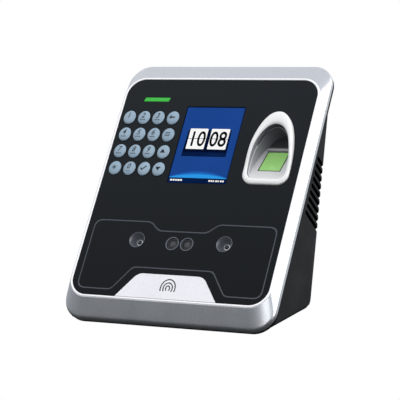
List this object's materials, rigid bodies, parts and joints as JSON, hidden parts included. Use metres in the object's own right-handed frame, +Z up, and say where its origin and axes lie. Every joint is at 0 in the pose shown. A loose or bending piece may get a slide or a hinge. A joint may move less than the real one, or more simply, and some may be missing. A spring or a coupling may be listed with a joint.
{
  "type": "fingerprint scanner terminal",
  "caption": "Wedge-shaped wall terminal with a silver bezel round a leaning black face: finger recess, colour screen, keypad, face cameras and infrared lamps; wired at the back.",
  "frame": {"origin": "middle of the wall plate's back face, which lies on the wall", "axes": "+X to the user's right, +Y into the wall, +Z up; the face leans back 18.9 degrees from the vertical"},
  "size_m": [0.1622, 0.0857, 0.1947],
  "materials": {
    "silver_paint": "fine metallic silver paint, satin",
    "gloss_black": "polished dark charcoal",
    "badge_silver": "pale silver paint, satin",
    "screen_glass": "lit blue screen behind a clear window",
    "metal_steel": "zinc-plated sheet",
    "status_green": "lit green light guide",
    "key_blue": "moulded pale steel blue",
    "rubber_grey": "matt silicone",
    "circuit_green": "green solder mask",
    "sensor_silver": "smooth satin silver",
    "sensor_green": "green-lit glass",
    "lamp_grey": "smoked grey reflector",
    "lens_black": "black lens",
    "housing_black": "satin moulded dark charcoal",
    "terminal_green": "moulded green",
    "inner_plastic": "moulded black",
    "plunger_white": "moulded off-white",
    "screw_steel": "zinc-plated"
  },
  "bodies": {
    "terminal": {"front_bezel": "silver_paint", "face_panel": "gloss_black", "badge_plate": "badge_silver", "display_window": "screen_glass", "display_module": "metal_steel", "processor": "metal_steel", "backup_cell": "metal_steel", "network_socket": "metal_steel", "usb_socket": "metal_steel", "wall_plate": "metal_steel", "status_light": "status_green", "keypad_mat": "rubber_grey", "keypad_board": "circuit_green", "camera_board": "circuit_green", "main_board": "circuit_green", "sensor_bezel": "sensor_silver", "finger_tray": "sensor_silver", "sensor_window": "sensor_green", "lamp_reflector_left": "lamp_grey", "lamp_reflector_right": "lamp_grey", "lens_ring_left": "lamp_grey", "lens_ring_right": "lamp_grey", "infrared_lamp_left": "lens_black", "infrared_lamp_right": "lens_black", "camera_left": "lens_black", "camera_right": "lens_black", "rear_housing": "housing_black", "power_terminals": "terminal_green", "relay_terminals": "terminal_green", "reader_terminals": "terminal_green", "sensor_module": "inner_plastic", "lock_relay": "inner_plastic", "speaker": "inner_plastic", "tamper_switch": "inner_plastic", "case_screw_top_left": "screw_steel", "case_screw_top_right": "screw_steel", "case_screw_bottom_left": "screw_steel", "case_screw_bottom_right": "screw_steel", "board_screw_1": "screw_steel", "board_screw_2": "screw_steel", "board_screw_3": "screw_steel", "board_screw_4": "screw_steel", "lock_screw": "screw_steel"},
    "key_1": {"key_1": "key_blue"},
    "key_2": {"key_2": "key_blue"},
    "key_3": {"key_3": "key_blue"},
    "key_escape": {"key_escape": "key_blue"},
    "key_4": {"key_4": "key_blue"},
    "key_5": {"key_5": "key_blue"},
    "key_6": {"key_6": "key_blue"},
    "key_menu": {"key_menu": "key_blue"},
    "key_7": {"key_7": "key_blue"},
    "key_8": {"key_8": "key_blue"},
    "key_9": {"key_9": "key_blue"},
    "key_up": {"key_up": "key_blue"},
    "key_star": {"key_star": "key_blue"},
    "key_0": {"key_0": "key_blue"},
    "key_enter": {"key_enter": "key_blue"},
    "key_down": {"key_down": "key_blue"},
    "tamper_plunger": {"tamper_plunger": "plunger_white"}
  },
  "joints": [
    {"name": "key_1_press", "type": "slide", "parent": "terminal", "child": "key_1", "axis": [0, 0.9461, -0.3239], "range_m": [0, 0.0008], "stiffness_N_per_m": 600},
    {"name": "key_2_press", "type": "slide", "parent": "terminal", "child": "key_2", "axis": [0, 0.9461, -0.3239], "range_m": [0, 0.0008], "stiffness_N_per_m": 600},
    {"name": "key_3_press", "type": "slide", "parent": "terminal", "child": "key_3", "axis": [0, 0.9461, -0.3239], "range_m": [0, 0.0008], "stiffness_N_per_m": 600},
    {"name": "key_escape_press", "type": "slide", "parent": "terminal", "child": "key_escape", "axis": [0, 0.9461, -0.3239], "range_m": [0, 0.0008], "stiffness_N_per_m": 600},
    {"name": "key_4_press", "type": "slide", "parent": "terminal", "child": "key_4", "axis": [0, 0.9461, -0.3239], "range_m": [0, 0.0008], "stiffness_N_per_m": 600},
    {"name": "key_5_press", "type": "slide", "parent": "terminal", "child": "key_5", "axis": [0, 0.9461, -0.3239], "range_m": [0, 0.0008], "stiffness_N_per_m": 600},
    {"name": "key_6_press", "type": "slide", "parent": "terminal", "child": "key_6", "axis": [0, 0.9461, -0.3239], "range_m": [0, 0.0008], "stiffness_N_per_m": 600},
    {"name": "key_menu_press", "type": "slide", "parent": "terminal", "child": "key_menu", "axis": [0, 0.9461, -0.3239], "range_m": [0, 0.0008], "stiffness_N_per_m": 600},
    {"name": "key_7_press", "type": "slide", "parent": "terminal", "child": "key_7", "axis": [0, 0.9461, -0.3239], "range_m": [0, 0.0008], "stiffness_N_per_m": 600},
    {"name": "key_8_press", "type": "slide", "parent": "terminal", "child": "key_8", "axis": [0, 0.9461, -0.3239], "range_m": [0, 0.0008], "stiffness_N_per_m": 600},
    {"name": "key_9_press", "type": "slide", "parent": "terminal", "child": "key_9", "axis": [0, 0.9461, -0.3239], "range_m": [0, 0.0008], "stiffness_N_per_m": 600},
    {"name": "key_up_press", "type": "slide", "parent": "terminal", "child": "key_up", "axis": [0, 0.9461, -0.3239], "range_m": [0, 0.0008], "stiffness_N_per_m": 600},
    {"name": "key_star_press", "type": "slide", "parent": "terminal", "child": "key_star", "axis": [0, 0.9461, -0.3239], "range_m": [0, 0.0008], "stiffness_N_per_m": 600},
    {"name": "key_0_press", "type": "slide", "parent": "terminal", "child": "key_0", "axis": [0, 0.9461, -0.3239], "range_m": [0, 0.0008], "stiffness_N_per_m": 600},
    {"name": "key_enter_press", "type": "slide", "parent": "terminal", "child": "key_enter", "axis": [0, 0.9461, -0.3239], "range_m": [0, 0.0008], "stiffness_N_per_m": 600},
    {"name": "key_down_press", "type": "slide", "parent": "terminal", "child": "key_down", "axis": [0, 0.9461, -0.3239], "range_m": [0, 0.0008], "stiffness_N_per_m": 600},
    {"name": "tamper_plunger_press", "type": "slide", "parent": "terminal", "child": "tamper_plunger", "axis": [0, -1, 0], "range_m": [0, 0.001], "stiffness_N_per_m": 300}
  ]
}
